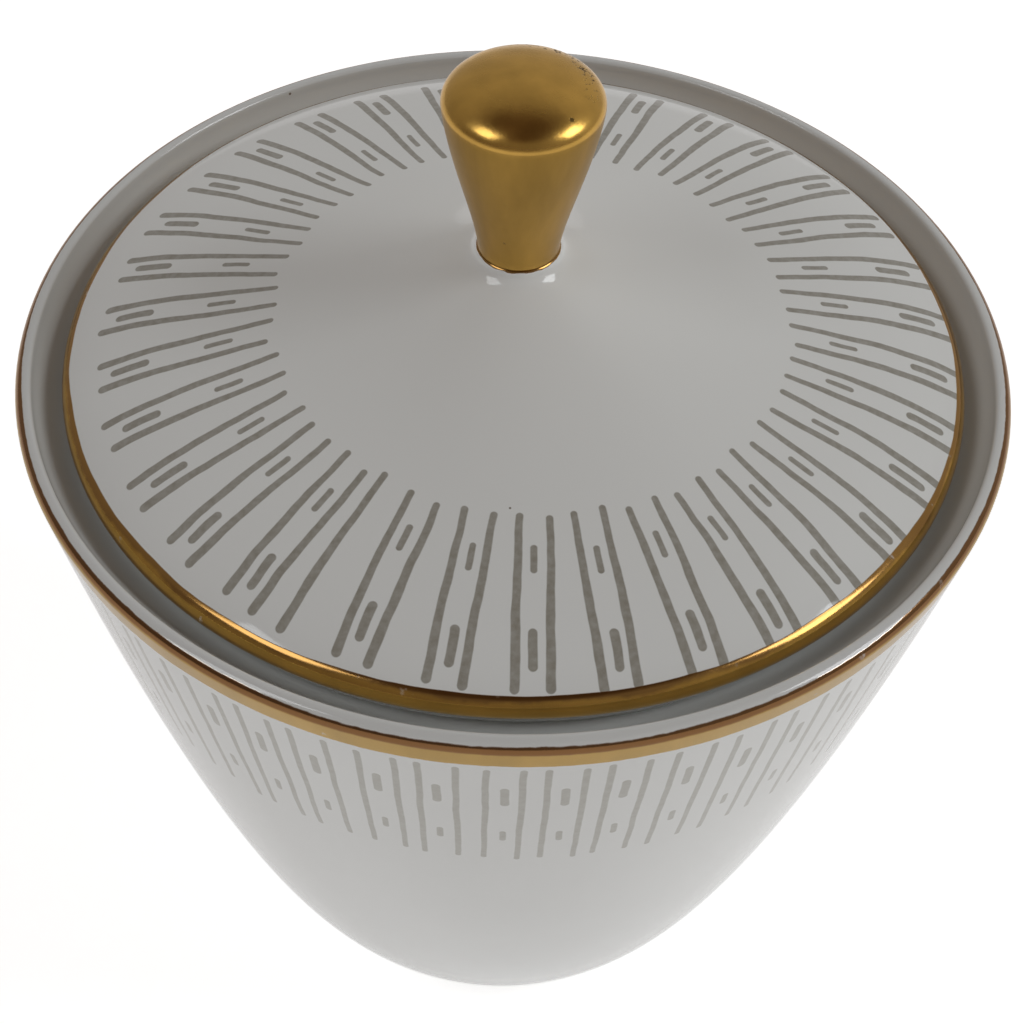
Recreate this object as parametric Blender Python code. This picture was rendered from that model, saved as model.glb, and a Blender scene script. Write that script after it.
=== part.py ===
"""Porcelain sugar bowl: a tapered bowl on a foot ring, a lift-off lid and the lid's gilded knob.

Metres, +Z up. The origin is the centre of the foot's resting plane, and Z is the axis of
every turned shape. Each outline is a list of (radius, height) points that is turned round Z.
"""

import math

import bmesh
import bpy

# Bowl.
RIM_RADIUS = 0.050              # widest circle of the lip
BOWL_HEIGHT = 0.0820            # foot plane to the top of the lip
LIP_THICKNESS = 0.0018          # the lip is a half round this thick
MOUTH_WALL = 0.0026             # wall at the level of the ledge
WALL = 0.0030                   # wall below the ledge
SIDE_LEAN = math.radians(13.4)  # how far the side leans in just under the lip
BELLY_HEIGHT = 0.0135           # where that lean, run on, meets the belly's own slope

# Ledge inside the mouth, which carries the lid.
LEDGE_DEPTH = 0.0046            # lip top down to the ledge
LEDGE_WIDTH = 0.0033            # how far the ledge reaches in past the lid's edge
LEDGE_THICKNESS = 0.0026
LEDGE_UNDERCUT = 0.0035         # height of the slope under the ledge
LEDGE_FILLET = 0.0024           # where the mouth's wall meets the ledge

# Foot and floor.
FOOT_RADIUS = 0.0209            # outside of the foot ring
FOOT_WIDTH = 0.0024
FOOT_HEIGHT = 0.0022            # foot plane to the underside of the belly
FOOT_STEP = 0.0012              # how far the belly overhangs the foot ring
FOOT_RECESS = 0.0026            # how deep the base is hollowed inside the ring
FOOT_SPLAY = 0.0015             # width of the ring's sloping inner face
FLOOR = 0.0034                  # thickness of the floor
FLOOR_FLAT = 0.0130             # radius of the flat part inside
FLOOR_CORNER = 0.0040           # height of the curve between the floor and the wall

# Lid.
EDGE_MARGIN = 0.0029            # open ring between the lip's inside and the lid's edge
EDGE_BEAD = 0.0016              # radius of the lid's rounded edge
EDGE_LIFT = 0.0030              # bead's centre above the lid's seat
EDGE_SLOPE = math.radians(27)   # slope of the dome where it leaves the bead
SEAT_TUCK = 0.0016              # the seat's outer corner, in from the lid's edge
MID_RADIUS = 0.0265             # where the dome turns into the rise to the knob
MID_HEIGHT = 0.0068             # that place above the bead's centre
MID_SLOPE = math.radians(14)
NECK_SLOPE = math.radians(29)
LID_RISE = 0.01615              # bead's centre up to the knob's seat
LID_WALL = 0.0030
FLANGE_DEPTH = 0.0050           # locating flange, from the lid's seat down
FLANGE_THICKNESS = 0.0026
FLANGE_ROOT = 0.0020            # height of the slope between the underside and the flange

# Knob.
KNOB_LENGTH = 0.0201            # foot to the top of the dome
KNOB_FOOT_RADIUS = 0.0040
KNOB_TOP_RADIUS = 0.0077        # widest circle, where the side ends and the dome starts
KNOB_DOME = 0.0034              # height of the dome over that circle
KNOB_DOME_POWER = 2.3           # 2 is an ellipse, and more is flatter with a tighter shoulder
KNOB_TAPER = 0.10               # slope of the side just under the widest circle
SEAT_BORDER = 0.0005            # the knob's seat beyond the knob's foot
SEAT_FILLET = 0.0016            # height of the fillet round that seat

# Clearances and small details.
SEAT_GAP = 0.0003               # lid over the ledge, knob over its seat
FLANGE_CLEARANCE = 0.0006       # flange inside the ledge, all round
CORNER_BREAK = 0.0005           # on each corner that isn't rounded otherwise
FOOT_BREAK = 0.0003             # the same on the small edges of the foot, knob and lid seat
TURN_STEPS = 48                 # flats round each turned piece

# Places that follow from them.
LEDGE_TOP = BOWL_HEIGHT - LEDGE_DEPTH
FLOOR_TOP = FOOT_RECESS + FLOOR
LID_RADIUS = RIM_RADIUS - LIP_THICKNESS - EDGE_MARGIN
LEDGE_BORE = LID_RADIUS - LEDGE_WIDTH
LID_SEAT = LEDGE_TOP + SEAT_GAP
BEAD_CENTRE = (LID_RADIUS - EDGE_BEAD, LID_SEAT + EDGE_LIFT)
FLANGE_RADIUS = LEDGE_BORE - FLANGE_CLEARANCE
KNOB_SEAT = BEAD_CENTRE[1] + LID_RISE
KNOB_FOOT = KNOB_SEAT + SEAT_GAP


def between(start, end, share):
    """The point that lies a share of the way from one point to another."""
    return tuple(a + share * (b - a) for a, b in zip(start, end))


def bezier(start, start_handle, end_handle, end, steps):
    """Points along a cubic curve, both ends included."""
    points = []
    for i in range(steps + 1):
        share = i / steps
        first = between(start, start_handle, share)
        second = between(start_handle, end_handle, share)
        third = between(end_handle, end, share)
        points.append(between(between(first, second, share), between(second, third, share), share))
    return points


def sloped(start, start_slope, end, end_slope, steps):
    """A cubic curve that runs inwards and upwards, with its slopes at both ends as angles."""
    reach = (start[0] - end[0]) / 3
    start_handle = (start[0] - reach, start[1] + reach * math.tan(start_slope))
    end_handle = (end[0] + reach, end[1] - reach * math.tan(end_slope))
    return bezier(start, start_handle, end_handle, end, steps)


def arc(centre, radius, start, end, steps):
    """Points round an arc, with angles in degrees from the outward horizontal."""
    points = []
    for i in range(steps + 1):
        angle = math.radians(start + (end - start) * i / steps)
        points.append((centre[0] + radius * math.cos(angle), centre[1] + radius * math.sin(angle)))
    return points


def inside_of(falling, distance):
    """A falling outline moved towards the inside of its wall."""
    moved = []
    for i, (radius, height) in enumerate(falling):
        before = falling[max(i - 1, 0)]
        after = falling[min(i + 1, len(falling) - 1)]
        run = (after[0] - before[0], after[1] - before[1])
        length = math.hypot(*run)
        moved.append((radius + distance * run[1] / length, height - distance * run[0] / length))
    return moved


def point_at(falling, height):
    """The point of a falling outline at a height."""
    for upper, lower in zip(falling, falling[1:]):
        if lower[1] <= height <= upper[1]:
            return between(upper, lower, (upper[1] - height) / (upper[1] - lower[1]))
    return falling[-1]


def bowl_side(steps):
    """Outer side, from the lip's widest circle down to the foot."""
    top = (RIM_RADIUS, BOWL_HEIGHT - LIP_THICKNESS / 2)
    corner = (top[0] - (top[1] - BELLY_HEIGHT) * math.tan(SIDE_LEAN), BELLY_HEIGHT)
    bottom = (FOOT_RADIUS + FOOT_STEP, FOOT_HEIGHT)
    return bezier(top, between(top, corner, 2 / 3), between(bottom, corner, 2 / 3), bottom, steps)


def foot_outline():
    """From the middle of the base, down the inside of the ring and up its outside."""
    ring_inside = FOOT_RADIUS - FOOT_WIDTH
    return [
        (0, FOOT_RECESS),
        (ring_inside - FOOT_SPLAY - CORNER_BREAK, FOOT_RECESS),
        (ring_inside - FOOT_SPLAY / 2, FOOT_RECESS - CORNER_BREAK),
        (ring_inside, FOOT_BREAK),
        (ring_inside + FOOT_BREAK, 0),
        (FOOT_RADIUS - FOOT_BREAK, 0),
        (FOOT_RADIUS, FOOT_BREAK),
        (FOOT_RADIUS + FOOT_BREAK, FOOT_HEIGHT - 2 * FOOT_BREAK),
    ]


def mouth_outline(side):
    """Over the lip, down the mouth's wall and across the ledge to its underside."""
    half = LIP_THICKNESS / 2
    lip = arc((RIM_RADIUS - half, BOWL_HEIGHT - half), half, 30, 180, 5)
    fillet_radius = point_at(side, LEDGE_TOP)[0] - MOUTH_WALL - LEDGE_FILLET
    fillet = arc((fillet_radius, LEDGE_TOP + LEDGE_FILLET), LEDGE_FILLET, 0, -90, 5)
    ledge = [
        (LEDGE_BORE + CORNER_BREAK, LEDGE_TOP),
        (LEDGE_BORE, LEDGE_TOP - CORNER_BREAK),
        (LEDGE_BORE, LEDGE_TOP - LEDGE_THICKNESS),
    ]
    return lip + fillet + ledge


def hollow_outline(wall_steps):
    """From the slope under the ledge down the inner wall and across the floor."""
    inside = inside_of(bowl_side(40), WALL)
    top = LEDGE_TOP - LEDGE_THICKNESS - LEDGE_UNDERCUT
    corner_top = FLOOR_TOP + FLOOR_CORNER
    heights = [top + (corner_top - top) * i / wall_steps for i in range(wall_steps + 1)]
    wall = [point_at(inside, height) for height in heights]
    lean = (wall[-1][0] - wall[-2][0]) / (wall[-1][1] - wall[-2][1])
    wall_handle = (wall[-1][0] - 0.7 * FLOOR_CORNER * lean, wall[-1][1] - 0.7 * FLOOR_CORNER)
    floor_edge = (FLOOR_FLAT, FLOOR_TOP)
    floor_handle = between(floor_edge, (wall[-1][0], FLOOR_TOP), 0.4)
    corner = bezier(wall[-1], wall_handle, floor_handle, floor_edge, 4)
    return wall + corner[1:] + [(0, FLOOR_TOP)]


def bowl_outline():
    """From the middle of the base round the foot, up, over the lip and down to the floor."""
    side = bowl_side(11)
    return foot_outline() + side[::-1] + mouth_outline(side) + hollow_outline(10)


def lid_top():
    """Upper surface, from the bead in to the fillet round the knob's seat."""
    bead_end = arc(BEAD_CENTRE, EDGE_BEAD, 90 - math.degrees(EDGE_SLOPE), 90, 1)[0]
    middle = (MID_RADIUS, BEAD_CENTRE[1] + MID_HEIGHT)
    neck = (KNOB_FOOT_RADIUS + SEAT_BORDER + SEAT_FILLET * 0.75, KNOB_SEAT - SEAT_FILLET)
    dome = sloped(bead_end, EDGE_SLOPE, middle, MID_SLOPE, 5)
    rise = sloped(middle, MID_SLOPE, neck, NECK_SLOPE, 6)
    return dome + rise[1:]


def flange_outline(underside_height):
    """Down the flange's inside, round its foot, up its outside and across the lid's seat."""
    inside = FLANGE_RADIUS - FLANGE_THICKNESS
    bottom = LID_SEAT - FLANGE_DEPTH
    corner = LID_RADIUS - SEAT_TUCK
    return [
        (inside, underside_height - FLANGE_ROOT),
        (inside, bottom + CORNER_BREAK),
        (inside + CORNER_BREAK, bottom),
        (FLANGE_RADIUS - CORNER_BREAK, bottom),
        (FLANGE_RADIUS, bottom + CORNER_BREAK),
        (FLANGE_RADIUS, LID_SEAT),
        (corner - FOOT_BREAK, LID_SEAT),
        (corner, LID_SEAT + FOOT_BREAK),
    ]


def lid_outline():
    """From the middle of the underside, round the flange and the bead, and up to the knob's seat."""
    top = lid_top()
    flange_inside = FLANGE_RADIUS - FLANGE_THICKNESS
    under = [point for point in inside_of(top[::-1], LID_WALL) if point[0] < flange_inside - FLANGE_ROOT]
    bead = arc(BEAD_CENTRE, EDGE_BEAD, -50, 90 - math.degrees(EDGE_SLOPE), 6)
    seat = [(KNOB_FOOT_RADIUS + SEAT_BORDER, KNOB_SEAT), (0, KNOB_SEAT)]
    return [(0, under[0][1])] + under + flange_outline(under[-1][1]) + bead[:-1] + top + seat


def knob_dome(centre_height, steps):
    """From the knob's widest circle in to the top of its dome."""
    points = []
    for i in range(steps):
        angle = math.pi / 2 * i / steps
        radius = KNOB_TOP_RADIUS * math.cos(angle) ** (2 / KNOB_DOME_POWER)
        points.append((radius, centre_height + KNOB_DOME * math.sin(angle) ** (2 / KNOB_DOME_POWER)))
    return points + [(0, centre_height + KNOB_DOME)]


def knob_outline():
    """From the middle of the foot, up the tapered side and over the dome."""
    dome = knob_dome(KNOB_FOOT + KNOB_LENGTH - KNOB_DOME, 9)
    foot = (KNOB_FOOT_RADIUS, KNOB_FOOT + FOOT_BREAK)
    widest = dome[0]
    height = widest[1] - foot[1]
    foot_handle = (foot[0], foot[1] + 0.20 * height)
    top_handle = (widest[0] - 0.35 * height * KNOB_TAPER, widest[1] - 0.35 * height)
    side = bezier(foot, foot_handle, top_handle, widest, 7)
    return [(0, KNOB_FOOT), (KNOB_FOOT_RADIUS - FOOT_BREAK, KNOB_FOOT)] + side + dome[1:]


def finish(name, colour, roughness, metallic):
    material = bpy.data.materials.new(name)
    material.use_nodes = True
    shader = material.node_tree.nodes["Principled BSDF"]
    shader.inputs["Base Color"].default_value = (*colour, 1)
    shader.inputs["Roughness"].default_value = roughness
    shader.inputs["Metallic"].default_value = metallic
    return material


def turned(name, outline, material):
    """Turns an outline round Z into one closed solid, with its two ends on the axis."""
    bm = bmesh.new()
    points = [bm.verts.new((radius, 0, height)) for radius, height in outline]
    edges = [bm.edges.new(pair) for pair in zip(points, points[1:])]
    bmesh.ops.spin(
        bm,
        geom=points + edges,
        cent=(0, 0, 0),
        axis=(0, 0, 1),
        angle=math.tau,
        steps=TURN_STEPS,
        use_merge=True,
    )
    bmesh.ops.remove_doubles(bm, verts=bm.verts, dist=1e-6)
    bmesh.ops.recalc_face_normals(bm, faces=bm.faces)
    mesh = bpy.data.meshes.new(name)
    bm.to_mesh(mesh)
    bm.free()
    mesh.materials.append(material)
    mesh.shade_smooth()
    mesh.set_sharp_from_angle(angle=math.radians(35))
    piece = bpy.data.objects.new(name, mesh)
    bpy.context.collection.objects.link(piece)
    return piece


for old in list(bpy.data.objects):
    bpy.data.objects.remove(old, do_unlink=True)

bowl = turned("bowl", bowl_outline(), finish("bowl_glaze", (0.62, 0.63, 0.62), 0.12, 0.0))
lid = turned("lid", lid_outline(), finish("lid_glaze", (0.60, 0.61, 0.60), 0.12, 0.0))
knob = turned("knob", knob_outline(), finish("knob_gilding", (0.56, 0.36, 0.10), 0.22, 1.0))

# The lid lifts off along Z, and its knob goes with it.
lid_axis = bpy.data.objects.new("lid_axis", None)
lid_axis.location = (0, 0, LID_SEAT)
bpy.context.collection.objects.link(lid_axis)
for piece in (lid, knob):
    piece.parent = lid_axis
    piece.matrix_parent_inverse = lid_axis.matrix_basis.inverted()
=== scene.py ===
"""The looks of a porcelain sugar bowl: its glaze, gilding and print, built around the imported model.

Metres, +Z up. Z is the axis of every turned shape, and each outline is a list of (radius, height)
points that is turned round it. The front of the bowl faces -Y.
"""

import math

import bmesh
import bpy
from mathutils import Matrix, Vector


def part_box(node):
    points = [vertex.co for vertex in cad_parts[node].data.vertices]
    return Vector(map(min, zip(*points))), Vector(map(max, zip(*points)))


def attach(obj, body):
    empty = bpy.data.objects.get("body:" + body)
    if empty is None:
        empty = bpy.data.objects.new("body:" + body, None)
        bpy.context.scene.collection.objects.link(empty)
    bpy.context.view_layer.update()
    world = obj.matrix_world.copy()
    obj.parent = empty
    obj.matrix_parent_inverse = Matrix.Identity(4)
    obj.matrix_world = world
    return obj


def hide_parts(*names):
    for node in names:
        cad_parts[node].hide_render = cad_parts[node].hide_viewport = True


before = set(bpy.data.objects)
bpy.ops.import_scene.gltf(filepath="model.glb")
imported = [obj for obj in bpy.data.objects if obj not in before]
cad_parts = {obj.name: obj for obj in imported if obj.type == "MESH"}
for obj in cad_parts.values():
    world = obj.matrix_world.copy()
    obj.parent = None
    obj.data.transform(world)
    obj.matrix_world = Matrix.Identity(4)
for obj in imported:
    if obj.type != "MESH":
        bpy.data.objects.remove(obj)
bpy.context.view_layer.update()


# ---- Bowl ----------------------------------------------------------------------------------------
# A tapered bowl of white hard porcelain, slip-cast with its foot ring and the ledge that carries
# the lid, glazed all over but for the foot's resting face. A band of gilding runs round the lip,
# and pairs of grey-brown strokes with dashes between them are printed below it.
bowl_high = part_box("bowl")[1]
RIM_RADIUS = bowl_high[0]
BOWL_HEIGHT = bowl_high[2]
LIP_THICKNESS = 0.0018
MOUTH_WALL = 0.0026
WALL = 0.0030
SIDE_LEAN = math.radians(13.4)
BELLY_HEIGHT = 0.0135
LEDGE_DEPTH = 0.0046
LEDGE_WIDTH = 0.0033
LEDGE_THICKNESS = 0.0026
LEDGE_UNDERCUT = 0.0035
LEDGE_FILLET = 0.0024
CORNER_BREAK = 0.0005
FOOT_RADIUS = 0.0209
FOOT_WIDTH = 0.0024
FOOT_HEIGHT = 0.0022
FOOT_STEP = 0.0012
FOOT_RECESS = 0.0026
FOOT_SPLAY = 0.0015
FLOOR = 0.0034
FLOOR_FLAT = 0.0130
FLOOR_CORNER = 0.0040
FOOT_BREAK = 0.0003
LEDGE_TOP = BOWL_HEIGHT - LEDGE_DEPTH
FLOOR_TOP = FOOT_RECESS + FLOOR
LID_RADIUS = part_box("lid")[1][0]
LEDGE_BORE = LID_RADIUS - LEDGE_WIDTH
LIP_ROUND = 0.0012              # rounding of the lip's outer half
LIP_CENTRE = (RIM_RADIUS - LIP_THICKNESS / 2, BOWL_HEIGHT - LIP_THICKNESS / 2)
TURN_STEPS = 192                # flats round each turned piece
SLANT = Vector((0.31, 0.17, 1))  # no two corners of a turned piece are level along this line

# The bowl's glaze is painted darker than the lid's, which is the same glaze: painted shade on the bowl,
# painted light on the lid.
BOWL_GLAZE_SHADED_COLOUR = (0.63, 0.64, 0.627)
GLAZE_ROUGHNESS = 0.06
GLAZE_IOR = 1.52
FLECK_COLOUR = (0.20, 0.17, 0.14)
BISCUIT_COLOUR = (0.60, 0.57, 0.51)
GILT_COLOUR = (0.65, 0.385, 0.09)
GILT_ROUGHNESS = 0.15
LIP_GILT_SHADED_COLOUR = (0.42, 0.26, 0.062)  # the same gilding as the lid's and the knob's, painted darker to dim its bright reflection of the floor
DARK_REFLECTION_COLOUR = (0.19, 0.09, 0.045)  # painted dark reflection on the gilding: over the lip's top, lowest at the front, and round the lid's edge
BOWL_PRINT_COLOUR = (0.36, 0.35, 0.31)

BAND_DEPTH = 0.0027             # gilding, from the lip's widest circle down to its lower edge
BAND_WAVER = 0.00022            # how far the hand-drawn edges of the gilding wander
BOWL_PAIRS = 51                 # pairs of strokes round the bowl
BOWL_PAIR_GAP = 0.00180         # half the space between the two strokes of a pair
BOWL_PAIR_START = math.radians(-1.5)
BOWL_STROKES = (0.0036, 0.0244)  # from and to, below the lip's widest circle
BOWL_STROKES_MIDDLE = (BOWL_STROKES[0] + BOWL_STROKES[1]) / 2
BOWL_STROKE_HALF = 0.00036      # half a stroke's width at its top
BOWL_STROKE_TAPER = 0.0035      # and how fast it narrows downwards
BOWL_LONG_DASH = (0.0076, 0.0115)
BOWL_LONG_HALF = 0.00042        # half a dash's width
BOWL_SHORT_DASH = (0.0175, 0.0198)
BOWL_SHORT_HALF = 0.00031
CRISP = 0.0001                  # width over which a clean edge fades


def between(start, end, share):
    """The point that lies a share of the way from one point to another."""
    return tuple(a + share * (b - a) for a, b in zip(start, end))


def bezier(start, start_handle, end_handle, end, steps):
    """Points along a cubic curve, both ends included."""
    points = []
    for i in range(steps + 1):
        share = i / steps
        first = between(start, start_handle, share)
        second = between(start_handle, end_handle, share)
        third = between(end_handle, end, share)
        points.append(between(between(first, second, share), between(second, third, share), share))
    return points


def arc(centre, radius, start, end, steps):
    """Points round an arc, with angles in degrees from the outward horizontal."""
    points = []
    for i in range(steps + 1):
        angle = math.radians(start + (end - start) * i / steps)
        points.append((centre[0] + radius * math.cos(angle), centre[1] + radius * math.sin(angle)))
    return points


def inside_of(falling, distance):
    """A falling outline moved towards the inside of its wall."""
    moved = []
    for i, (radius, height) in enumerate(falling):
        before = falling[max(i - 1, 0)]
        after = falling[min(i + 1, len(falling) - 1)]
        run = (after[0] - before[0], after[1] - before[1])
        length = math.hypot(*run)
        moved.append((radius + distance * run[1] / length, height - distance * run[0] / length))
    return moved


def point_at(falling, height):
    """The point of a falling outline at a height."""
    for upper, lower in zip(falling, falling[1:]):
        if lower[1] <= height <= upper[1]:
            return between(upper, lower, (upper[1] - height) / (upper[1] - lower[1]))
    return falling[-1]


def rounded(points, size, steps=3):
    """An outline with each of its corners cut back by a size and rounded."""
    result = [points[0]]
    for before, corner, after in zip(points, points[1:], points[2:]):
        start = between(corner, before, min(0.45, size / math.dist(corner, before)))
        end = between(corner, after, min(0.45, size / math.dist(corner, after)))
        result += bezier(start, between(start, corner, 0.6), between(end, corner, 0.6), end, steps)
    return result + [points[-1]]


def bowl_side(steps):
    """Outer side, from the lip's widest circle down to the foot."""
    top = (RIM_RADIUS, LIP_CENTRE[1])
    corner = (top[0] - (top[1] - BELLY_HEIGHT) * math.tan(SIDE_LEAN), BELLY_HEIGHT)
    bottom = (FOOT_RADIUS + FOOT_STEP, FOOT_HEIGHT)
    return bezier(top, between(top, corner, 2 / 3), between(bottom, corner, 2 / 3), bottom, steps)


def foot_outline():
    """From the middle of the base, down the inside of the ring and up its outside."""
    ring_inside = FOOT_RADIUS - FOOT_WIDTH
    return [(0, FOOT_RECESS)] + rounded(
        [
            (FOOT_RECESS, FOOT_RECESS),
            (ring_inside - FOOT_SPLAY, FOOT_RECESS),
            (ring_inside, 0),
            (FOOT_RADIUS, 0),
            (FOOT_RADIUS + FOOT_BREAK, FOOT_HEIGHT - FOOT_BREAK),
            (FOOT_RADIUS + FOOT_STEP, FOOT_HEIGHT),
        ],
        CORNER_BREAK,
    )[:-1]


def mouth_outline(side):
    """Over the lip, down the mouth's wall and across the ledge to its underside."""
    height = BOWL_HEIGHT - LIP_ROUND
    wall_radius = RIM_RADIUS - (LIP_CENTRE[1] - height) * math.tan(SIDE_LEAN)
    crest_radius = wall_radius - LIP_ROUND / math.cos(SIDE_LEAN)
    inner_round = crest_radius - (RIM_RADIUS - LIP_THICKNESS)
    lip = arc((crest_radius, height), LIP_ROUND, -math.degrees(SIDE_LEAN), 90, 16)
    lip += arc((crest_radius, BOWL_HEIGHT - inner_round), inner_round, 90, 155, 7)[1:]
    fillet_radius = point_at(side, LEDGE_TOP)[0] - MOUTH_WALL - LEDGE_FILLET
    wall_handle = (RIM_RADIUS - LIP_THICKNESS - 0.0002, LEDGE_TOP + 0.9 * LEDGE_FILLET)
    ledge_handle = (fillet_radius + 0.5 * LEDGE_FILLET, LEDGE_TOP)
    fillet = bezier(lip[-1], wall_handle, ledge_handle, (fillet_radius, LEDGE_TOP), 14)
    ledge = rounded(
        [
            fillet[-1],
            (LEDGE_BORE, LEDGE_TOP),
            (LEDGE_BORE, LEDGE_TOP - LEDGE_THICKNESS),
            point_at(inside_of(bowl_side(90), WALL), LEDGE_TOP - LEDGE_THICKNESS - LEDGE_UNDERCUT),
        ],
        2 * CORNER_BREAK,
        4,
    )
    return lip + fillet[1:] + ledge[1:-1]


def hollow_outline(wall_steps):
    """From the slope under the ledge down the inner wall and across the floor."""
    inside = inside_of(bowl_side(90), WALL)
    top = LEDGE_TOP - LEDGE_THICKNESS - LEDGE_UNDERCUT
    corner_top = FLOOR_TOP + FLOOR_CORNER
    heights = [top + (corner_top - top) * i / wall_steps for i in range(wall_steps + 1)]
    wall = [point_at(inside, height) for height in heights]
    lean = (wall[-1][0] - wall[-2][0]) / (wall[-1][1] - wall[-2][1])
    wall_handle = (wall[-1][0] - 0.7 * FLOOR_CORNER * lean, wall[-1][1] - 0.7 * FLOOR_CORNER)
    floor_edge = (FLOOR_FLAT, FLOOR_TOP)
    floor_handle = between(floor_edge, (wall[-1][0], FLOOR_TOP), 0.4)
    corner = bezier(wall[-1], wall_handle, floor_handle, floor_edge, 9)
    return wall + corner[1:] + [(0, FLOOR_TOP)]


def bowl_outline():
    """From the middle of the base round the foot, up, over the lip and down to the floor."""
    side = bowl_side(36)
    below_lip = [point for point in side if point[1] < BOWL_HEIGHT - 1.5 * LIP_ROUND]
    return foot_outline() + below_lip[::-1] + mouth_outline(side) + hollow_outline(24)


def turned(name, outline, material):
    """Turns an outline round Z into one closed solid, with its two ends on the axis."""
    bm = bmesh.new()
    points = [bm.verts.new((radius, 0, height)) for radius, height in outline]
    edges = [bm.edges.new(pair) for pair in zip(points, points[1:])]
    bmesh.ops.spin(
        bm,
        geom=points + edges,
        cent=(0, 0, 0),
        axis=(0, 0, 1),
        angle=math.tau,
        steps=TURN_STEPS,
        use_merge=True,
    )
    bmesh.ops.remove_doubles(bm, verts=bm.verts, dist=1e-6)
    bmesh.ops.recalc_face_normals(bm, faces=bm.faces)

    # The spin lists what it makes in no fixed order, so it is put in one.
    bm.verts.sort(key=lambda corner: SLANT.dot(corner.co))
    bm.edges.sort(key=lambda edge: SLANT.dot(edge.verts[0].co + edge.verts[1].co))
    bm.faces.sort(key=lambda face: SLANT.dot(face.calc_center_median()))
    mesh = bpy.data.meshes.new(name)
    bm.to_mesh(mesh)
    bm.free()
    mesh.materials.append(material)
    mesh.shade_smooth()
    piece = bpy.data.objects.new(name, mesh)
    bpy.context.collection.objects.link(piece)
    return piece


class Field:
    """A value that varies over a surface: Math nodes, written as ordinary arithmetic."""

    def __init__(self, tree, socket):
        self.tree = tree
        self.socket = socket

    def maths(self, operation, *others, clamp=False):
        """A Math node on this field and others, which may be fields or numbers."""
        node = self.tree.nodes.new("ShaderNodeMath")
        node.operation = operation
        node.use_clamp = clamp
        for place, value in zip(node.inputs, (self, *others)):
            if isinstance(value, Field):
                self.tree.links.new(value.socket, place)
            else:
                place.default_value = value
        return Field(self.tree, node.outputs[0])

    def __add__(self, other):
        return self.maths("ADD", other)

    def __sub__(self, other):
        return self.maths("SUBTRACT", other)

    def __mul__(self, other):
        return self.maths("MULTIPLY", other)

    def __truediv__(self, other):
        return self.maths("DIVIDE", other)

    def __neg__(self):
        return self * -1

    def __abs__(self):
        return self.maths("ABSOLUTE")

    def above(self, level, softness):
        """1 where the field is above a level, 0 where it is below, with a soft step."""
        return ((self - level) / softness).maths("ADD", 0.5, clamp=True)

    def within(self, low, high, softness):
        """1 where the field is between two levels, with a soft step at each."""
        return self.above(low, softness) * (-self).above(-high, softness)

    def random(self, seed):
        """From -1 to 1, one value for each whole number."""
        node = self.tree.nodes.new("ShaderNodeTexWhiteNoise")
        node.noise_dimensions = "1D"
        self.tree.links.new((self + seed).socket, node.inputs["W"])
        return Field(self.tree, node.outputs["Value"]) * 2 - 1


class Surface:
    """A material under way: its shader, the place on the piece, and the fields that drive it."""

    def __init__(self, name):
        self.material = bpy.data.materials.new(name)
        self.material.use_nodes = True
        self.tree = self.material.node_tree
        self.shader = self.tree.nodes["Principled BSDF"]
        self.place = self.tree.nodes.new("ShaderNodeTexCoord").outputs["Object"]
        split = self.tree.nodes.new("ShaderNodeSeparateXYZ")
        self.tree.links.new(self.place, split.inputs[0])
        self.x, self.y, self.z = (Field(self.tree, socket) for socket in split.outputs)

    def radius(self, centre=(0, 0)):
        """Distance from an upright axis."""
        x, y = self.x - centre[0], self.y - centre[1]
        return (x * x + y * y).maths("SQRT")

    def turn(self, centre=(0, 0)):
        """Angle round Z, from -pi to pi, counted from +X."""
        return (self.y - centre[1]).maths("ARCTAN2", self.x - centre[0])

    def noise(self, size, detail=2.0, stretch=(1, 1, 1)):
        """From about -1 to 1, in soft patches of about a size in metres."""
        scaled = self.tree.nodes.new("ShaderNodeMapping")
        scaled.inputs["Scale"].default_value = stretch
        self.tree.links.new(self.place, scaled.inputs["Vector"])
        node = self.tree.nodes.new("ShaderNodeTexNoise")
        node.inputs["Scale"].default_value = 1 / size
        node.inputs["Detail"].default_value = detail
        self.tree.links.new(scaled.outputs[0], node.inputs["Vector"])
        return Field(self.tree, node.outputs[0]) * 4 - 2

    def spots(self, spacing, size, share):
        """1 in small round spots, in a share of the cells of a grid of a spacing."""
        node = self.tree.nodes.new("ShaderNodeTexVoronoi")
        node.inputs["Scale"].default_value = 1 / spacing
        self.tree.links.new(self.place, node.inputs["Vector"])
        chosen = self.tree.nodes.new("ShaderNodeSeparateColor")
        self.tree.links.new(node.outputs["Color"], chosen.inputs[0])
        near = (-Field(self.tree, node.outputs["Distance"])).above(-size / spacing, 0.3 * size / spacing)
        return near * (-Field(self.tree, chosen.outputs[0])).above(-share, 0.001)

    def near(self, point, size):
        """1 within a size of a point, with a ragged edge."""
        x, y, z = (part - at for part, at in zip((self.x, self.y, self.z), point))
        distance = (x * x + y * y + z * z).maths("SQRT") + self.noise(0.3 * size, 2) * (0.25 * size)
        return (-distance).above(-size, 0.3 * size)

    def mix(self, under, over, amount):
        """One colour over another, by a field. A colour is three numbers or another mix."""
        node = self.tree.nodes.new("ShaderNodeMix")
        node.data_type = "RGBA"
        self.tree.links.new(amount.socket, node.inputs["Factor"])
        for place, colour in ((node.inputs["A"], under), (node.inputs["B"], over)):
            if isinstance(colour, tuple):
                place.default_value = (*colour, 1)
            else:
                self.tree.links.new(colour, place)
        return node.outputs["Result"]

    def drive(self, socket, value):
        """Lets a field or a mix of colours set one of the shader's inputs."""
        source = value.socket if isinstance(value, Field) else value
        self.tree.links.new(source, self.shader.inputs[socket])

    def relief(self, height):
        """A bump whose field is its height in metres."""
        node = self.tree.nodes.new("ShaderNodeBump")
        node.inputs["Distance"].default_value = 1
        self.tree.links.new(height.socket, node.inputs["Height"])
        self.tree.links.new(node.outputs[0], self.shader.inputs["Normal"])


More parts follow.
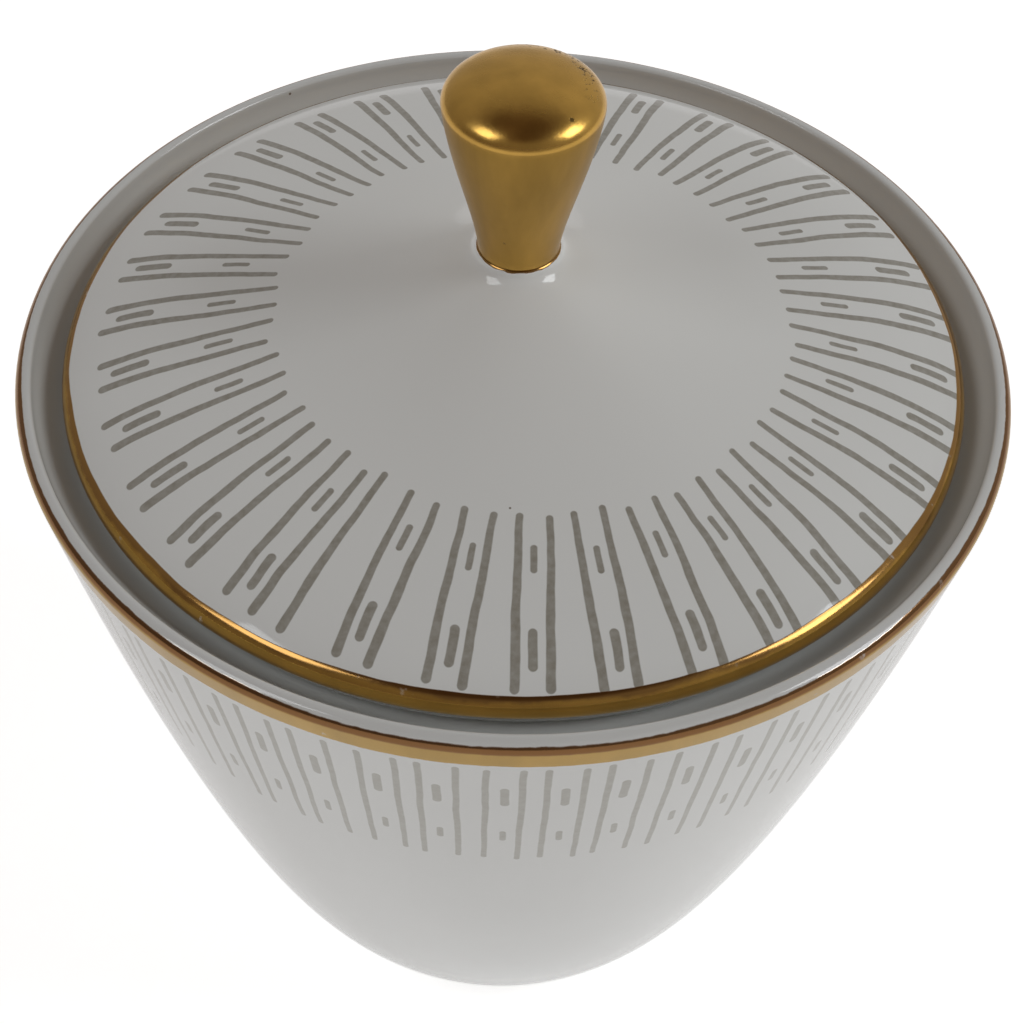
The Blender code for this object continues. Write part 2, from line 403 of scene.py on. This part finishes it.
def mark(across, along, start, end, half_width):
    """One printed mark with round ends: 1 on it, and 0 off it."""
    middle = (start + end) * 0.5
    beyond = (abs(along - middle) - ((end - start) * 0.5 - half_width)).maths("MAXIMUM", 0)
    distance = (across * across + beyond * beyond).maths("SQRT")
    return (-distance).above(-half_width, CRISP)


def dash_ends(field, ends):
    """The same two ends for every dash, as fields."""
    return [field * 0 + end for end in ends]


def worn_gilding(surface, gilded):
    """Gilding laid over the glaze where a field is 1, thin and rubbed in places."""
    rubbed = surface.noise(0.0016, 4).within(0.92, 9, 0.35) * 0.5
    return gilded * (-rubbed + 1)


def glaze(surface, white_colour, print_colour, print_amount, gilt_colour, gilt_amount, painted_reflection, bare_amount):
    """White glaze over its print, gilded on top, and bare biscuit where it was wiped off."""
    cloudy = surface.noise(0.030, 3) * 0.5 + 0.5
    white = surface.mix(white_colour, tuple(0.965 * part for part in white_colour), cloudy)
    flecked = surface.mix(white, FLECK_COLOUR, surface.spots(0.0065, 0.00016, 0.06))
    density = surface.noise(0.0007, 3) * 0.10 + 0.90
    printed = surface.mix(flecked, print_colour, print_amount * density)
    bare = surface.mix(printed, BISCUIT_COLOUR, bare_amount)
    gilt_tone = surface.noise(0.0040, 3, (1, 1, 0.3)) * 0.5 + 0.5
    gilt = surface.mix(gilt_colour, tuple(0.80 * part for part in gilt_colour), gilt_tone)
    # The gilding is painted darker here, as a dark reflection along its edge.
    gilt = surface.mix(gilt, DARK_REFLECTION_COLOUR, painted_reflection)
    surface.drive("Base Color", surface.mix(bare, gilt, gilt_amount))
    surface.drive("Metallic", gilt_amount)
    satin = surface.noise(0.0025, 2) * 0.03 + (GILT_ROUGHNESS - GLAZE_ROUGHNESS)
    surface.drive("Roughness", gilt_amount * satin + bare_amount * 0.6 + GLAZE_ROUGHNESS)
    surface.shader.inputs["IOR"].default_value = GLAZE_IOR
    peel = surface.noise(0.0060, 1) * 0.0000035
    grain = surface.noise(0.00045, 2) * bare_amount * 0.000012
    surface.relief(peel + grain + gilt_amount * 0.000006 + print_amount * 0.000002)
    return surface.material


def bowl_finish():
    """The bowl's glaze, with its band of gilding and its ring of print."""
    surface = Surface("bowl_glaze")
    radius = surface.radius()
    turn = surface.turn()
    depth = -surface.z + LIP_CENTRE[1]
    facing_front = (-turn.maths("SINE")).maths("MAXIMUM", 0)

    # The gilding stops on the crest at the sides and nearer the outside at the front.
    side_radius = radius + depth.maths("MAXIMUM", 0) * math.tan(SIDE_LEAN)
    outward = (side_radius - LIP_CENTRE[0]) / (LIP_THICKNESS / 2)
    crest_edge = facing_front * facing_front * 0.50 + surface.noise(0.016, 2) * 0.10 + 0.10
    ragged = surface.noise(0.0011, 3)
    lower_edge = surface.noise(0.012, 3) * BAND_WAVER + ragged * 0.00004 + BAND_DEPTH
    outside = (outward - crest_edge + ragged * 0.04).above(0, 0.09)
    gilded = worn_gilding(surface, outside * (-depth).above(-lower_edge, CRISP))
    # A painted dark reflection over the top of the lip, reaching further down at the front.
    reflection_edge = facing_front * facing_front * 0.0008 + ragged * 0.00006 - 0.0003
    painted_reflection = (-depth).above(-reflection_edge, 0.00025) * 0.85

    # Each pair of strokes is a sector of its own, a little off its even place.
    turns = (turn - BOWL_PAIR_START) * (BOWL_PAIRS / math.tau)
    pair = turns.maths("FLOOR")
    wander = surface.noise(0.0055, 2) * 0.00009
    share = turns - pair - 0.5 + pair.random(3) * 0.055
    across = share * radius * (math.tau / BOWL_PAIRS) + wander
    side = across.above(0, CRISP).maths("ROUND")
    stroke = pair * 2 + side
    lean = (depth - BOWL_STROKES_MIDDLE) * stroke.random(11) * 0.012
    from_middle = abs(across) - radius * (BOWL_PAIR_GAP / RIM_RADIUS) + lean
    half_width = -depth * BOWL_STROKE_TAPER + BOWL_STROKE_HALF
    start = stroke.random(5) * 0.00015 + BOWL_STROKES[0]
    end = stroke.random(7) * 0.00025 + BOWL_STROKES[1]
    strokes = mark(from_middle, depth, start, end, half_width)
    dash_across = across + pair.random(17) * 0.00012
    dash_depth = depth + pair.random(13) * 0.0002
    long_dash = mark(dash_across, dash_depth, *dash_ends(depth, BOWL_LONG_DASH), BOWL_LONG_HALF)
    short_dash = mark(dash_across, dash_depth, *dash_ends(depth, BOWL_SHORT_DASH), BOWL_SHORT_HALF)

    # The print is on the outside only, not on the inner wall behind it.
    outer_radius = point_at(bowl_side(90), LIP_CENTRE[1] - BOWL_STROKES_MIDDLE)[0]
    upright = radius + (depth - BOWL_STROKES_MIDDLE) * math.tan(SIDE_LEAN)
    outer_face = upright.above(outer_radius - WALL / 2, CRISP) * depth.above(0, CRISP)
    printed = strokes.maths("MAXIMUM", long_dash).maths("MAXIMUM", short_dash) * outer_face

    bare = (-surface.z).above(-0.00035, 0.0003) * (-radius).above(-FOOT_RADIUS - 0.001, 0.0005)
    return glaze(surface, BOWL_GLAZE_SHADED_COLOUR, BOWL_PRINT_COLOUR, printed, LIP_GILT_SHADED_COLOUR, gilded, painted_reflection, bare)


bowl = turned("bowl_body", bowl_outline(), bowl_finish())
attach(bowl, "bowl")
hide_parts("bowl")


# ---- Lid -----------------------------------------------------------------------------------------
# A low tent-shaped lid of the same porcelain, with a rounded gilded edge and a flange underneath
# that drops inside the bowl's ledge. Its print is a ring of radial strokes from a transfer that
# was laid a little off centre, with one stroke left over where the ring closes.
EDGE_BEAD = 0.0016
EDGE_LIFT = 0.0030
EDGE_SLOPE = math.radians(27)
SEAT_TUCK = 0.0016
MID_RADIUS = 0.0265
MID_HEIGHT = 0.0068
MID_SLOPE = math.radians(14)
NECK_SLOPE = math.radians(29)
LID_WALL = 0.0030
FLANGE_DEPTH = 0.0050
FLANGE_THICKNESS = 0.0026
FLANGE_ROOT = 0.0020
FLANGE_CLEARANCE = 0.0006
SEAT_BORDER = 0.0005
SEAT_FILLET = 0.0016
NECK_RADIUS = 0.0070            # where the fillet round the knob's foot starts
NECK_REACH = 0.0019
KNOB_EDGE = 0.0001              # the neck meets the knob's foot this far outside it
lid_low, lid_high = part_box("lid")
LID_SEAT = lid_low[2] + FLANGE_DEPTH
BEAD_CENTRE = (LID_RADIUS - EDGE_BEAD, LID_SEAT + EDGE_LIFT)
FLANGE_RADIUS = LEDGE_BORE - FLANGE_CLEARANCE
KNOB_SEAT = lid_high[2]
KNOB_FOOT_RADIUS = 0.0040

LID_GLAZE_LIT_COLOUR = (0.75, 0.765, 0.75)  # the same glaze as the bowl's, painted lighter for the light the lid gets
LID_PRINT_COLOUR = (0.27, 0.255, 0.215)
LID_STROKES = 67                # 33 pairs and the one left over
LID_PRINT_CENTRE = (0.00160, -0.00100)
LID_PRINT_RING = (0.0257, 0.0432)  # inner and outer ends of the strokes
LID_JOIN = math.radians(-118.4)  # where the ring closes
LID_LONE_SHIFT = math.radians(-1.6)  # the lone stroke, from the middle of that place
LID_STROKE_HALF = 0.00046       # half a stroke's width at the edge of the lid
LID_STROKE_TAPER = 0.00014      # and how much of it is lost at its inner end
LID_LONG_DASH = (0.0376, 0.0415)
LID_LONG_HALF = 0.00044
LID_SHORT_DASH = (0.0293, 0.0322)
LID_SHORT_HALF = 0.00030
LID_TWIST = math.radians(1.4)   # how far the transfer was eased round at the sides
LID_SWAY = math.radians(1.7)    # how far the whole ring was pulled towards its right-hand side
LID_SWAY_TURN = math.radians(10)
LID_WAVE = math.radians(0.6)    # and how far its front was let out again
LID_FRONT = math.radians(-85)
LID_GILT_WIDTH = 0.00095        # gilding on the upper side of the bead, seen from above
LID_REFLECTION_WIDTH = 0.00045      # the painted dark reflection round its outer edge


def sloped(start, start_slope, end, end_slope, steps):
    """A cubic curve that runs inwards and upwards, with its slopes at both ends as angles."""
    reach = (start[0] - end[0]) / 3
    start_handle = (start[0] - reach, start[1] + reach * math.tan(start_slope))
    end_handle = (end[0] + reach, end[1] - reach * math.tan(end_slope))
    return bezier(start, start_handle, end_handle, end, steps)


def lid_top():
    """Upper surface, from the bead in to the fillet round the knob's seat."""
    bead_end = arc(BEAD_CENTRE, EDGE_BEAD, 90 - math.degrees(EDGE_SLOPE), 90, 1)[0]
    middle = (MID_RADIUS, BEAD_CENTRE[1] + MID_HEIGHT)
    neck = (KNOB_FOOT_RADIUS + SEAT_BORDER + SEAT_FILLET * 0.75, KNOB_SEAT - SEAT_FILLET)
    dome = sloped(bead_end, EDGE_SLOPE, middle, MID_SLOPE, 18)
    rise = sloped(middle, MID_SLOPE, neck, NECK_SLOPE, 20)
    return dome + rise[1:]


def lid_outline():
    """From the middle of the underside, round the flange and the bead, and up to the knob."""
    top = lid_top()
    flange_inside = FLANGE_RADIUS - FLANGE_THICKNESS
    under = [point for point in inside_of(top[::-1], LID_WALL) if point[0] < flange_inside - FLANGE_ROOT]
    bottom = LID_SEAT - FLANGE_DEPTH
    flange = rounded(
        [
            under[-1],
            (flange_inside, under[-1][1] - FLANGE_ROOT),
            (flange_inside, bottom),
            (FLANGE_RADIUS, bottom),
            (FLANGE_RADIUS, LID_SEAT),
            (LID_RADIUS - SEAT_TUCK, LID_SEAT),
            (LID_RADIUS - SEAT_TUCK + 2 * FOOT_BREAK, LID_SEAT + 3 * FOOT_BREAK),
        ],
        2 * CORNER_BREAK,
        4,
    )
    bead = arc(BEAD_CENTRE, EDGE_BEAD, -50, 90 - math.degrees(EDGE_SLOPE), 16)
    top = [point for point in top if point[0] > NECK_RADIUS]
    slope = (top[-1][1] - top[-2][1]) / (top[-2][0] - top[-1][0])
    neck_handle = (top[-1][0] - NECK_REACH, top[-1][1] + NECK_REACH * slope)
    seat = (KNOB_FOOT_RADIUS + KNOB_EDGE, KNOB_SEAT)
    collar = bezier(top[-1], neck_handle, (seat[0] + 0.0001, seat[1] - 0.0013), seat, 14)
    return [(0, under[0][1])] + under + flange[1:-1] + bead[:-1] + top + collar[1:] + [(0, KNOB_SEAT)]


def lid_finish():
    """The lid's glaze, with its gilded bead, the gilding round the knob and the ring of print."""
    surface = Surface("lid_glaze")
    radius = surface.radius()
    upper = surface.z.above(BEAD_CENTRE[1], CRISP)

    # The gilding covers the bead to below its widest circle, and creeps out from under the knob.
    edge = surface.noise(0.014, 3) * 0.00018 + (LID_RADIUS - LID_GILT_WIDTH)
    on_bead = surface.z.above(BEAD_CENTRE[1] - 0.6 * EDGE_BEAD, 0.0002)
    below_widest = (-surface.z).above(-BEAD_CENTRE[1], CRISP)
    past_edge = (radius - edge).above(0, 0.00008).maths("MAXIMUM", below_widest)
    near_edge = radius.above(LID_RADIUS - 1.2 * EDGE_BEAD, CRISP)
    knob_edge = surface.noise(0.0014, 2) * 0.00012 + (KNOB_SEAT - 0.00014)
    round_knob = (surface.z - knob_edge).above(0, 0.00008) * upper
    gilded = worn_gilding(surface, (past_edge * on_bead * near_edge).maths("MAXIMUM", round_knob))

    # The transfer is a ring off the lid's centre, numbered from the place where it closes.
    ring = surface.radius(LID_PRINT_CENTRE)
    turn = surface.turn(LID_PRINT_CENTRE)
    inwards = (-ring + LID_PRINT_RING[1]) / (LID_PRINT_RING[1] - LID_PRINT_RING[0])
    wave = (turn * 2 - 2 * LID_FRONT).maths("COSINE") * LID_WAVE
    swayed = turn - (turn - LID_SWAY_TURN).maths("COSINE") * LID_SWAY - wave
    twisted = swayed - inwards * turn.maths("COSINE") * LID_TWIST
    from_join = ((twisted - LID_JOIN) / math.tau + (2 + 0.5 / LID_STROKES)).maths("FRACT")
    stroke_share = from_join * LID_STROKES
    wander = surface.noise(0.0050, 2) * 0.00011
    pair_share = (stroke_share - 1) * 0.5
    pair = pair_share.maths("FLOOR")
    pitch = ring * (2 * math.tau / LID_STROKES)
    share = pair_share - pair - 0.5 + pair.random(3) * 0.025
    across = share * pitch + wander
    side = across.above(0, CRISP).maths("ROUND")
    stroke = pair * 2 + side
    half_gap = (inwards * 0.075 + 0.195) * pitch
    lean = (inwards - 0.5) * stroke.random(11) * 0.00016
    half_width = -inwards * LID_STROKE_TAPER + LID_STROKE_HALF
    start = stroke.random(5) * 0.0005 + LID_PRINT_RING[0]
    end = stroke.random(7) * 0.0002 + LID_PRINT_RING[1]
    strokes = mark(abs(across) - half_gap + lean, ring, start, end, half_width)
    in_pairs = stroke_share.above(1, CRISP)
    lone_share = stroke_share - 0.5 - LID_LONE_SHIFT * LID_STROKES / math.tau
    lone_across = lone_share * (ring * (math.tau / LID_STROKES)) + wander
    lone = mark(lone_across, ring, start, end, half_width)
    dash_across = across + pair.random(17) * 0.00010
    dash_ring = ring + pair.random(13) * 0.00035
    long_dash = mark(dash_across, dash_ring, *dash_ends(ring, LID_LONG_DASH), LID_LONG_HALF)
    short_dash = mark(dash_across, dash_ring, *dash_ends(ring, LID_SHORT_DASH), LID_SHORT_HALF)
    marks = strokes.maths("MAXIMUM", long_dash).maths("MAXIMUM", short_dash) * in_pairs
    printed = marks.maths("MAXIMUM", lone * (-in_pairs + 1)) * upper

    bare = (-surface.z).above(-lid_low[2] - 0.0004, 0.0004)
    # A painted dark reflection round the outer edge of the bead.
    reflection_edge = surface.noise(0.0090, 2) * 0.00020 + surface.noise(0.0010, 3) * 0.00008
    painted_reflection = (-radius - reflection_edge).above(LID_REFLECTION_WIDTH - LID_RADIUS, 0.00025) * 0.62
    return glaze(surface, LID_GLAZE_LIT_COLOUR, LID_PRINT_COLOUR, printed, GILT_COLOUR, gilded, painted_reflection, bare)


lid = turned("lid_body", lid_outline(), lid_finish())
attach(lid, "lid")
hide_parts("lid")


# ---- Knob ----------------------------------------------------------------------------------------
# A small inverted cone of porcelain with a domed top, gilded all over and luted to the lid. The
# gilding is satin on the side and brighter round the shoulder, where fingers rub it, and it is
# pitted, and worn through in small specks at the back right of the dome.
knob_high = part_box("knob")[1]
KNOB_TOP_RADIUS = knob_high[0]
KNOB_DOME = 0.0030
KNOB_DOME_POWER = 2.0
KNOB_TAPER = 0.10
KNOB_CHIPS = (                  # small chips in the gilding: where, and how far across
    ((-0.0013, -0.0042, KNOB_SEAT + 0.0040), 0.00028),
    ((0.0044, -0.0044, knob_high[2] - 0.0013), 0.00022),
)
KNOB_JOINT = KNOB_SEAT - 0.0002  # the knob's foot, sunk a little into the glaze of its seat
WORN_COLOUR = (0.055, 0.035, 0.015)  # grime in the places where the gilding is gone


def knob_dome(centre_height, steps):
    """From the knob's widest circle in to the top of its dome."""
    points = []
    for i in range(steps):
        angle = math.pi / 2 * i / steps
        radius = KNOB_TOP_RADIUS * math.cos(angle) ** (2 / KNOB_DOME_POWER)
        points.append((radius, centre_height + KNOB_DOME * math.sin(angle) ** (2 / KNOB_DOME_POWER)))
    return points + [(0, centre_height + KNOB_DOME)]


def knob_outline():
    """From the middle of the foot, up the tapered side and over the dome."""
    dome = knob_dome(knob_high[2] - KNOB_DOME, 40)
    foot = (KNOB_FOOT_RADIUS, KNOB_JOINT)
    widest = dome[0]
    height = widest[1] - foot[1]
    foot_handle = (foot[0], foot[1] + 0.20 * height)
    top_handle = (widest[0] - 0.35 * height * KNOB_TAPER, widest[1] - 0.35 * height)
    side = bezier(foot, foot_handle, top_handle, widest, 28)
    return [(0, KNOB_JOINT)] + side + dome[1:]


def knob_finish():
    """The knob's gilding, with its wear."""
    surface = Surface("knob_gilding")
    tone = surface.noise(0.0036, 4, (1, 1, 0.22)) * 0.6 + 0.5
    gilt = surface.mix(GILT_COLOUR, tuple(0.74 * part for part in GILT_COLOUR), tone)
    streaks = surface.noise(0.0009, 2, (1, 1, 0.06))
    grain = surface.noise(0.00035, 3)

    # Fingers have worn a broken line of specks round the back right edge of the dome.
    back_right = (surface.y * 0.72 + surface.x * 0.69).above(0.0040, 0.0030)
    edge = surface.radius().within(0.0056, 0.0069, 0.0004)
    top = surface.z.above(knob_high[2] - KNOB_DOME, 0.0004)
    worn = surface.noise(0.00042, 3).above(0.38, 0.16) * back_right * edge * top
    pits = surface.spots(0.0034, 0.00016, 0.10)
    for place, size in KNOB_CHIPS:
        pits = pits.maths("MAXIMUM", surface.near(place, size))
    flaws = worn.maths("MAXIMUM", pits)
    surface.drive("Base Color", surface.mix(gilt, WORN_COLOUR, flaws * 0.85))
    surface.shader.inputs["Metallic"].default_value = 1.0
    height = surface.z - (knob_high[2] - KNOB_DOME)
    rubbed = height.within(0.0005, 0.0025, 0.0010)
    surface.drive("Roughness", -rubbed * 0.09 + surface.noise(0.0020, 3) * 0.03 + flaws * 0.3 + 0.32)
    bumps = streaks * 0.0000018 + grain * 0.0000012 + surface.noise(0.0030, 2) * 0.000006
    surface.relief(bumps - flaws * 0.00003)
    return surface.material


knob = turned("knob_body", knob_outline(), knob_finish())
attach(knob, "lid")
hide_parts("knob")


# ---- Floor, light and camera ---------------------------------------------------------------------
# A plain pale floor and two soft windows, one at the front left and one at the right, in a room
# that is dark overhead, so that the gilding has something dark and something bright to show.
FLOOR_RADIUS = 4.0
FLOOR_COLOUR = (0.88, 0.88, 0.88)
FLOOR_GLOW = 0.38               # light that the paper throws back on the porcelain
FLOOR_WHITE = 0.66              # and how it looks itself, close to burnt out
ROOM_DARK = (0.095, 0.064, 0.052)  # overhead
ROOM_PALE = (0.53, 0.515, 0.50)  # the far wall
CEILING = 0.93                  # how steeply upwards the pale walls end
CEILING_BLEND = 0.15
PAPER_WHITE = (0.90, 0.90, 0.90)  # what the camera sees past the floor
WINDOW_SIZE = 0.60
WINDOW_COLOUR = (0.94, 0.975, 1.0)
WINDOW_AIM = (0, 0, 0.7 * BOWL_HEIGHT)
CAMERA_BACK = 0.20285           # from the bowl's axis
CAMERA_RISE = 0.19686           # above the lip
CAMERA_TILT = (42.747, -1.395, 1.429)  # degrees
CAMERA_LENS = 98.44

bm = bmesh.new()
bmesh.ops.create_circle(bm, cap_ends=True, segments=96, radius=FLOOR_RADIUS)
floor_mesh = bpy.data.meshes.new("floor")
bm.to_mesh(floor_mesh)
bm.free()
floor_surface = Surface("floor_paper")
paper = floor_surface.noise(0.004, 3) * 0.5 + 0.5
paper_colour = floor_surface.mix(FLOOR_COLOUR, tuple(0.99 * part for part in FLOOR_COLOUR), paper)
floor_surface.drive("Base Color", paper_colour)
floor_surface.shader.inputs["Roughness"].default_value = 0.9
floor_surface.shader.inputs["Emission Color"].default_value = (1, 1, 1, 1)
floor_rays = floor_surface.tree.nodes.new("ShaderNodeLightPath")
seen_directly = Field(floor_surface.tree, floor_rays.outputs["Is Camera Ray"])
floor_surface.drive("Emission Strength", seen_directly * (FLOOR_WHITE - FLOOR_GLOW) + FLOOR_GLOW)
floor_mesh.materials.append(floor_surface.material)
floor = bpy.data.objects.new("floor", floor_mesh)
bpy.context.collection.objects.link(floor)


def window(name, place, power):
    """A soft square light at a place, turned to face the bowl."""
    light = bpy.data.lights.new(name, "AREA")
    light.shape = "RECTANGLE"
    light.size = WINDOW_SIZE
    light.size_y = WINDOW_SIZE
    light.energy = power
    light.color = WINDOW_COLOUR
    lamp = bpy.data.objects.new(name, light)
    lamp.location = place
    away = lamp.location - Vector(WINDOW_AIM)
    lamp.rotation_euler = away.to_track_quat("Z", "Y").to_euler()
    lamp.visible_camera = False
    bpy.context.collection.objects.link(lamp)


window("window_left", (-0.93, -0.46, 1.28), 3.8)
window("window_right", (1.21, -0.20, 1.11), 6.4)

# The room is palest at the back and a little paler at the right, and dark and warm overhead.
world = bpy.data.worlds.new("room")
world.use_nodes = True
room = world.node_tree
background = room.nodes["Background"]
direction = room.nodes.new("ShaderNodeSeparateXYZ")
room.links.new(room.nodes.new("ShaderNodeTexCoord").outputs["Generated"], direction.inputs[0])
across, back, up = (Field(room, socket) for socket in direction.outputs)
overhead = up - back * 0.1
below_ceiling = ((-overhead + CEILING) / CEILING_BLEND).maths("ADD", 0, clamp=True)
in_front = (-back - 0.25).maths("MAXIMUM", 0)
pale = below_ceiling * (back * 0.38 + across * 0.20 + in_front * 0.15 + 0.54)
tint = room.nodes.new("ShaderNodeMix")
tint.data_type = "RGBA"
tint.inputs["A"].default_value = (*ROOM_DARK, 1)
tint.inputs["B"].default_value = (*ROOM_PALE, 1)
room.links.new(pale.maths("ADD", 0, clamp=True).socket, tint.inputs["Factor"])
room.links.new(tint.outputs["Result"], background.inputs["Color"])
seen = room.nodes.new("ShaderNodeBackground")
seen.inputs["Color"].default_value = (*PAPER_WHITE, 1)
choice = room.nodes.new("ShaderNodeMixShader")
rays = room.nodes.new("ShaderNodeLightPath")
room.links.new(rays.outputs["Is Camera Ray"], choice.inputs[0])
room.links.new(background.outputs[0], choice.inputs[1])
room.links.new(seen.outputs[0], choice.inputs[2])
room.links.new(choice.outputs[0], room.nodes["World Output"].inputs["Surface"])
bpy.context.scene.world = world
bpy.context.scene.view_settings.view_transform = "Standard"

camera_data = bpy.data.cameras.new("camera")
camera_data.lens = CAMERA_LENS
camera = bpy.data.objects.new("camera", camera_data)
camera.location = (0, -CAMERA_BACK, LIP_CENTRE[1] + CAMERA_RISE)
camera.rotation_euler = [math.radians(angle) for angle in CAMERA_TILT]
bpy.context.collection.objects.link(camera)
bpy.context.scene.camera = camera
